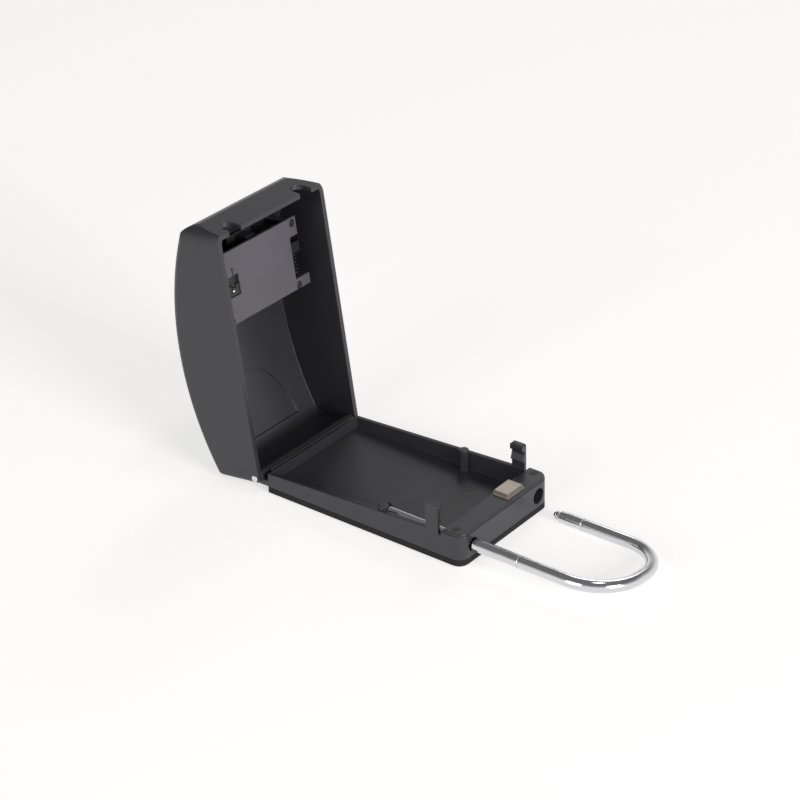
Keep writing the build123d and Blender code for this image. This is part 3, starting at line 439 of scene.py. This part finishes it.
def grown(name, tree, geometry, material, sizes, place):
    """Plain mesh that the tree makes with these sizes, moved to its place."""
    real = add_node(tree, "GeometryNodeRealizeInstances", {"Geometry": geometry})
    painted = add_node(tree, "GeometryNodeSetMaterial", {"Geometry": real.outputs[0], "Material": material})
    add_node(tree, "NodeGroupOutput", {"Geometry": painted.outputs[0]})
    source = bpy.data.objects.new(name + "_source", bpy.data.meshes.new(name + "_source"))
    bpy.context.scene.collection.objects.link(source)
    modifier = source.modifiers.new("nodes", "NODES")
    modifier.node_group = tree
    for item in tree.interface.items_tree:
        if item.in_out == "INPUT":
            modifier[item.identifier] = sizes[item.name]
    graph = bpy.context.evaluated_depsgraph_get()
    mesh = bpy.data.meshes.new_from_object(source.evaluated_get(graph), depsgraph=graph)
    bpy.data.objects.remove(source)
    mesh.name = name
    mesh.transform(place)
    piece = bpy.data.objects.new(name, mesh)
    bpy.context.scene.collection.objects.link(piece)
    return piece


def digit_ring(name, material, sizes, place):
    """Filled numbers 0 to 9 round the X axis, each half a step on from a flat of the dial."""
    tree, given = geometry_tree("digit_ring", sizes)
    radius, rise, depth = (given.outputs[key] for key in ("Radius", "Rise", "Depth"))
    top = add_node(tree, "ShaderNodeMath", {0: radius, 1: rise}, operation="ADD").outputs[0]
    base = add_node(tree, "ShaderNodeMath", {0: top, 1: depth}, operation="SUBTRACT").outputs[0]
    out = add_node(tree, "ShaderNodeCombineXYZ", {"Z": base}).outputs[0]
    ring = add_node(tree, "GeometryNodeJoinGeometry")
    for digit in range(DIGITS):
        text = add_node(tree, "GeometryNodeStringToCurves", {
            "String": str(digit), "Size": given.outputs["Size"]}, align_x="CENTER", align_y="MIDDLE")
        flat = add_node(tree, "GeometryNodeFillCurve", {"Curve": text.outputs[0]})
        real = add_node(tree, "GeometryNodeRealizeInstances", {"Geometry": flat.outputs[0]})
        solid = add_node(tree, "GeometryNodeExtrudeMesh", {
            "Mesh": real.outputs[0], "Offset Scale": depth, "Individual": False})
        raised = add_node(tree, "GeometryNodeTransform", {"Geometry": solid.outputs[0], "Translation": out})
        turn = (math.radians((digit + DIGIT_PHASE) * 360 / DIGITS), 0, 0)
        turned = add_node(tree, "GeometryNodeTransform", {"Geometry": raised.outputs[0], "Rotation": turn})
        tree.links.new(turned.outputs[0], ring.inputs[0])
    return grown(name, tree, ring.outputs[0], material, sizes, place)


RING_SIDES = 48
LINE_SIDES = 8


def ejector_rings(name, material, sizes, points, place):
    """Faint round marks that a mould's ejector pins leave."""
    tree, given = geometry_tree("ejector_rings", sizes)
    circle = add_node(tree, "GeometryNodeCurvePrimitiveCircle", {
        "Resolution": RING_SIDES, "Radius": given.outputs["Radius"]})
    line = add_node(tree, "GeometryNodeCurvePrimitiveCircle", {
        "Resolution": LINE_SIDES, "Radius": given.outputs["Line"]})
    ring = add_node(tree, "GeometryNodeCurveToMesh", {
        "Curve": circle.outputs[0], "Profile Curve": line.outputs[0]})
    marks = add_node(tree, "GeometryNodeJoinGeometry")
    for point in points:
        spot = add_node(tree, "GeometryNodeTransform", {"Geometry": ring.outputs[0], "Translation": point})
        tree.links.new(spot.outputs[0], marks.inputs[0])
    return grown(name, tree, marks.outputs[0], material, sizes, place)


def arrow_mark(name, material, size, place):
    """Raised arrow along X that shows which way the reset lever goes."""
    half, width, rise = size.arrow_length / 2, size.arrow_width / 2, size.arrow_rise
    stem, neck = width / 4, half - width
    outline = [
        (-half, -stem), (neck, -stem), (neck, -width), (half, 0), (neck, width), (neck, stem), (-half, stem)
    ]
    count = len(outline)
    points = [(x, y, z) for z in (0, -rise) for x, y in outline]
    sides = [(i, (i + 1) % count, count + (i + 1) % count, count + i) for i in range(count)]
    mesh = bpy.data.meshes.new(name)
    mesh.from_pydata(points, [], [tuple(range(count))[::-1], tuple(range(count, 2 * count)), *sides])
    mesh.materials.append(material)
    mesh.transform(place)
    piece = bpy.data.objects.new(name, mesh)
    bpy.context.scene.collection.objects.link(piece)
    return piece


def middle_and_radius(node):
    """Middle of a dial and its radius, from its box."""
    low, high = (Vector(corner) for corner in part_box(node))
    return (low + high) / 2, (high.z - low.z) / 2


ARROW_PLACE = Vector((121.5, -25.2, 22.6)) * MM
FLOOR_TOP = 7.0 * MM
EJECTOR_POINTS = [Vector(p) * MM for p in ((-52, -28, 0), (-52, 28, 0), (12, -30, 0), (30, 22, 0))]


class KEYSAFE_OT_marks(bpy.types.Operator):
    """Puts the numbers on the dials, the arrow on the plate and the mould's marks in the tray"""

    bl_idname = "keysafe.marks"
    bl_label = "Marks"

    def execute(self, context):
        size = context.scene.keysafe_mark
        ink = bpy.data.materials["filled_paint"]
        to_dial = Matrix(((0, 1, 0), (-1, 0, 0), (0, 0, 1))).to_4x4()
        turn = opened().to_3x3().to_4x4()
        for number in range(1, DIALS + 1):
            middle, radius = middle_and_radius(f"dial_wheel_{number}")
            sizes = {
                "Radius": radius, "Size": size.digit_size, "Depth": size.digit_depth, "Rise": size.digit_rise
            }
            place = Matrix.Translation(middle) @ turn @ to_dial
            digits = digit_ring(f"dial_digits_{number}", ink, sizes, place)
            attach(digits, f"dial_{number}")
        black = bpy.data.materials["moulded_abs_black"]
        arrow = arrow_mark("reset_arrow", black, size, opened() @ Matrix.Translation(ARROW_PLACE))
        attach(arrow, "cover")
        coat = bpy.data.materials["black_powder_coat"]
        sizes = {"Radius": size.ring_radius, "Line": size.ring_line}
        floor = Matrix.Translation((0, 0, FLOOR_TOP))
        rings = ejector_rings("tray_ejector_marks", coat, sizes, EJECTOR_POINTS, floor)
        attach(rings, "tray")
        return {"FINISHED"}


class KEYSAFE_OT_stage(bpy.types.Operator):
    """Sets the floor, the lights, the surroundings and the camera"""

    bl_idname = "keysafe.stage"
    bl_label = "Studio"

    def execute(self, context):
        scene = context.scene
        scene.view_settings.view_transform = "Standard"
        paper_world(scene)
        paper_floor(scene)
        studio_lamps(scene)
        place_camera(scene)
        return {"FINISHED"}


class KEYSAFE_PT_panel(bpy.types.Panel):
    """Lists the safe's settings and steps"""

    bl_label = "Key safe"
    bl_idname = "KEYSAFE_PT_panel"
    bl_space_type = "VIEW_3D"
    bl_region_type = "UI"
    bl_category = "Key safe"

    def draw(self, context):
        layout = self.layout
        for settings in (context.scene.keysafe_finish, context.scene.keysafe_mark):
            for name in settings.bl_rna.properties.keys():
                if name not in ("rna_type", "name"):
                    layout.prop(settings, name)
        for step in STEPS:
            layout.operator(step.bl_idname)


SETTINGS = (FinishSettings, MarkSettings)
STEPS = (KEYSAFE_OT_finishes, KEYSAFE_OT_marks, KEYSAFE_OT_stage)


def register():
    for item in (*SETTINGS, *STEPS, KEYSAFE_PT_panel):
        bpy.utils.register_class(item)
    bpy.types.Scene.keysafe_finish = bpy.props.PointerProperty(type=FinishSettings)
    bpy.types.Scene.keysafe_mark = bpy.props.PointerProperty(type=MarkSettings)


def unregister():
    del bpy.types.Scene.keysafe_mark
    del bpy.types.Scene.keysafe_finish
    for item in reversed((*SETTINGS, *STEPS, KEYSAFE_PT_panel)):
        bpy.utils.unregister_class(item)


def main():
    """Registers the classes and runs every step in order."""
    register()
    for step in STEPS:
        group, name = step.bl_idname.split(".")
        getattr(getattr(bpy.ops, group), name)()


if __name__ == "__main__":
    main()
